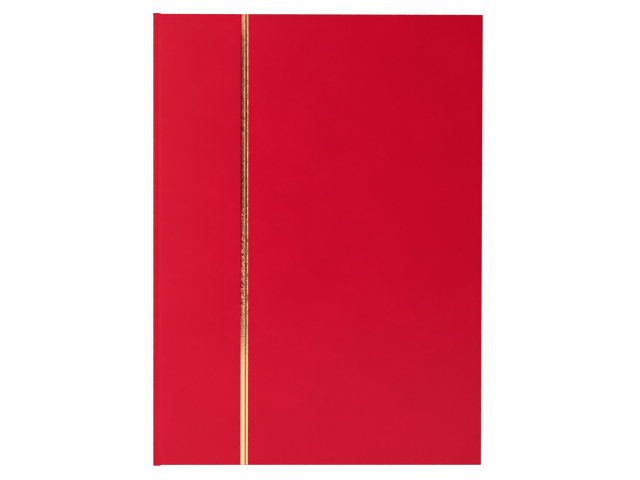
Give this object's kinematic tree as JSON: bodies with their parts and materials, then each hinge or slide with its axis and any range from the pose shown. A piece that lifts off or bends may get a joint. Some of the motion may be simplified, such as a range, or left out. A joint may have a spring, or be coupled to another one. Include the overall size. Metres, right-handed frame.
{
  "type": "stamp album",
  "caption": "Hardback stamp stock book with leatherette covers, two gold bands down the front, and linen-hinged pocketed leaves with glassine interleaves.",
  "frame": {"origin": "under the middle of the closed album, on the surface its back cover lies on", "axes": "+X from the spine to the fore-edge, +Y from tail to head, +Z from the back cover to the front cover"},
  "size_m": [0.2224, 0.306, 0.016],
  "materials": {
    "leatherette": "embossed red leatherette, satin",
    "board": "grey bookbinder's board",
    "gold_foil": "hot-stamped gold foil",
    "endpaper": "smooth off-white paper",
    "page_card": "smooth off-white card",
    "linen": "woven book linen",
    "pocket_strip": "glazed translucent glassine",
    "interleaf": "translucent glassine sheet",
    "lining": "kraft paper",
    "wire": "drawn wire"
  },
  "bodies": {
    "back_cover": {"back_leatherette": "leatherette", "back_board": "board", "back_pastedown": "endpaper", "back_endpaper_joint": "endpaper"},
    "text_block": {"spine_leatherette": "leatherette", "spine_board": "board", "spine_lining": "lining", "guard_block": "page_card", "stitch_wire_1": "wire", "stitch_wire_2": "wire", "stitch_wire_3": "wire"},
    "front_cover": {"front_leatherette": "leatherette", "front_board": "board", "front_pastedown": "endpaper", "gold_band_wide": "gold_foil", "gold_band_narrow": "gold_foil", "front_endpaper_joint": "endpaper"},
    "leaf_1": {"leaf_1_card": "page_card", "leaf_1_pockets_recto": "pocket_strip", "leaf_1_pockets_verso": "pocket_strip", "leaf_1_hinge_tape": "linen"},
    "interleaf_1": {"interleaf_1": "interleaf"},
    "leaf_2": {"leaf_2_card": "page_card", "leaf_2_pockets_recto": "pocket_strip", "leaf_2_pockets_verso": "pocket_strip", "leaf_2_hinge_tape": "linen"},
    "interleaf_2": {"interleaf_2": "interleaf"},
    "leaf_3": {"leaf_3_card": "page_card", "leaf_3_pockets_recto": "pocket_strip", "leaf_3_pockets_verso": "pocket_strip", "leaf_3_hinge_tape": "linen"},
    "interleaf_3": {"interleaf_3": "interleaf"},
    "leaf_4": {"leaf_4_card": "page_card", "leaf_4_pockets_recto": "pocket_strip", "leaf_4_pockets_verso": "pocket_strip", "leaf_4_hinge_tape": "linen"},
    "interleaf_4": {"interleaf_4": "interleaf"},
    "leaf_5": {"leaf_5_card": "page_card", "leaf_5_pockets_recto": "pocket_strip", "leaf_5_pockets_verso": "pocket_strip", "leaf_5_hinge_tape": "linen"},
    "interleaf_5": {"interleaf_5": "interleaf"},
    "leaf_6": {"leaf_6_card": "page_card", "leaf_6_pockets_recto": "pocket_strip", "leaf_6_pockets_verso": "pocket_strip", "leaf_6_hinge_tape": "linen"},
    "interleaf_6": {"interleaf_6": "interleaf"},
    "leaf_7": {"leaf_7_card": "page_card", "leaf_7_pockets_recto": "pocket_strip", "leaf_7_pockets_verso": "pocket_strip", "leaf_7_hinge_tape": "linen"},
    "interleaf_7": {"interleaf_7": "interleaf"},
    "leaf_8": {"leaf_8_card": "page_card", "leaf_8_pockets_recto": "pocket_strip", "leaf_8_pockets_verso": "pocket_strip", "leaf_8_hinge_tape": "linen"}
  },
  "joints": [
    {"name": "spine_crease", "type": "hinge", "parent": "back_cover", "child": "text_block", "pos_m": [-0.11075, 0, 0.0005], "axis": [0, -1, 0], "range_deg": [0, 90], "deforming": ["back_endpaper_joint"]},
    {"name": "front_crease", "type": "hinge", "parent": "text_block", "child": "front_cover", "pos_m": [-0.11075, 0, 0.01552], "axis": [0, -1, 0], "range_deg": [0, 90], "deforming": ["front_endpaper_joint"]},
    {"name": "leaf_1_turn", "type": "hinge", "parent": "text_block", "child": "leaf_1", "pos_m": [-0.09632, 0, 0.01221], "axis": [0, -1, 0], "range_deg": [0, 85], "deforming": ["leaf_1_hinge_tape"]},
    {"name": "interleaf_1_turn", "type": "hinge", "parent": "text_block", "child": "interleaf_1", "pos_m": [-0.09632, 0, 0.01161], "axis": [0, -1, 0], "range_deg": [0, 85]},
    {"name": "leaf_2_turn", "type": "hinge", "parent": "text_block", "child": "leaf_2", "pos_m": [-0.09632, 0, 0.01101], "axis": [0, -1, 0], "range_deg": [0, 85], "deforming": ["leaf_2_hinge_tape"]},
    {"name": "interleaf_2_turn", "type": "hinge", "parent": "text_block", "child": "interleaf_2", "pos_m": [-0.09632, 0, 0.01041], "axis": [0, -1, 0], "range_deg": [0, 85]},
    {"name": "leaf_3_turn", "type": "hinge", "parent": "text_block", "child": "leaf_3", "pos_m": [-0.09632, 0, 0.00981], "axis": [0, -1, 0], "range_deg": [0, 85], "deforming": ["leaf_3_hinge_tape"]},
    {"name": "interleaf_3_turn", "type": "hinge", "parent": "text_block", "child": "interleaf_3", "pos_m": [-0.09632, 0, 0.00921], "axis": [0, -1, 0], "range_deg": [0, 85]},
    {"name": "leaf_4_turn", "type": "hinge", "parent": "text_block", "child": "leaf_4", "pos_m": [-0.09632, 0, 0.00861], "axis": [0, -1, 0], "range_deg": [0, 85], "deforming": ["leaf_4_hinge_tape"]},
    {"name": "interleaf_4_turn", "type": "hinge", "parent": "text_block", "child": "interleaf_4", "pos_m": [-0.09632, 0, 0.00801], "axis": [0, -1, 0], "range_deg": [0, 85]},
    {"name": "leaf_5_turn", "type": "hinge", "parent": "text_block", "child": "leaf_5", "pos_m": [-0.09632, 0, 0.00741], "axis": [0, -1, 0], "range_deg": [-85, 0], "deforming": ["leaf_5_hinge_tape"]},
    {"name": "interleaf_5_turn", "type": "hinge", "parent": "text_block", "child": "interleaf_5", "pos_m": [-0.09632, 0, 0.00681], "axis": [0, -1, 0], "range_deg": [-85, 0]},
    {"name": "leaf_6_turn", "type": "hinge", "parent": "text_block", "child": "leaf_6", "pos_m": [-0.09632, 0, 0.00621], "axis": [0, -1, 0], "range_deg": [-85, 0], "deforming": ["leaf_6_hinge_tape"]},
    {"name": "interleaf_6_turn", "type": "hinge", "parent": "text_block", "child": "interleaf_6", "pos_m": [-0.09632, 0, 0.00561], "axis": [0, -1, 0], "range_deg": [-85, 0]},
    {"name": "leaf_7_turn", "type": "hinge", "parent": "text_block", "child": "leaf_7", "pos_m": [-0.09632, 0, 0.00501], "axis": [0, -1, 0], "range_deg": [-85, 0], "deforming": ["leaf_7_hinge_tape"]},
    {"name": "interleaf_7_turn", "type": "hinge", "parent": "text_block", "child": "interleaf_7", "pos_m": [-0.09632, 0, 0.00441], "axis": [0, -1, 0], "range_deg": [-85, 0]},
    {"name": "leaf_8_turn", "type": "hinge", "parent": "text_block", "child": "leaf_8", "pos_m": [-0.09632, 0, 0.00381], "axis": [0, -1, 0], "range_deg": [-85, 0], "deforming": ["leaf_8_hinge_tape"]}
  ],
  "couplings": [
    {"joint": "leaf_1_turn", "follows": "front_crease", "ratio": 0.9},
    {"joint": "interleaf_1_turn", "follows": "front_crease", "ratio": 0.8},
    {"joint": "leaf_2_turn", "follows": "front_crease", "ratio": 0.7},
    {"joint": "interleaf_2_turn", "follows": "front_crease", "ratio": 0.6},
    {"joint": "leaf_3_turn", "follows": "front_crease", "ratio": 0.5},
    {"joint": "interleaf_3_turn", "follows": "front_crease", "ratio": 0.4},
    {"joint": "leaf_4_turn", "follows": "front_crease", "ratio": 0.3},
    {"joint": "interleaf_4_turn", "follows": "front_crease", "ratio": 0.1},
    {"joint": "leaf_5_turn", "follows": "spine_crease", "ratio": -0.3},
    {"joint": "interleaf_5_turn", "follows": "spine_crease", "ratio": -0.4},
    {"joint": "leaf_6_turn", "follows": "spine_crease", "ratio": -0.5},
    {"joint": "interleaf_6_turn", "follows": "spine_crease", "ratio": -0.6},
    {"joint": "leaf_7_turn", "follows": "spine_crease", "ratio": -0.7},
    {"joint": "interleaf_7_turn", "follows": "spine_crease", "ratio": -0.8},
    {"joint": "leaf_8_turn", "follows": "spine_crease", "ratio": -0.9}
  ]
}
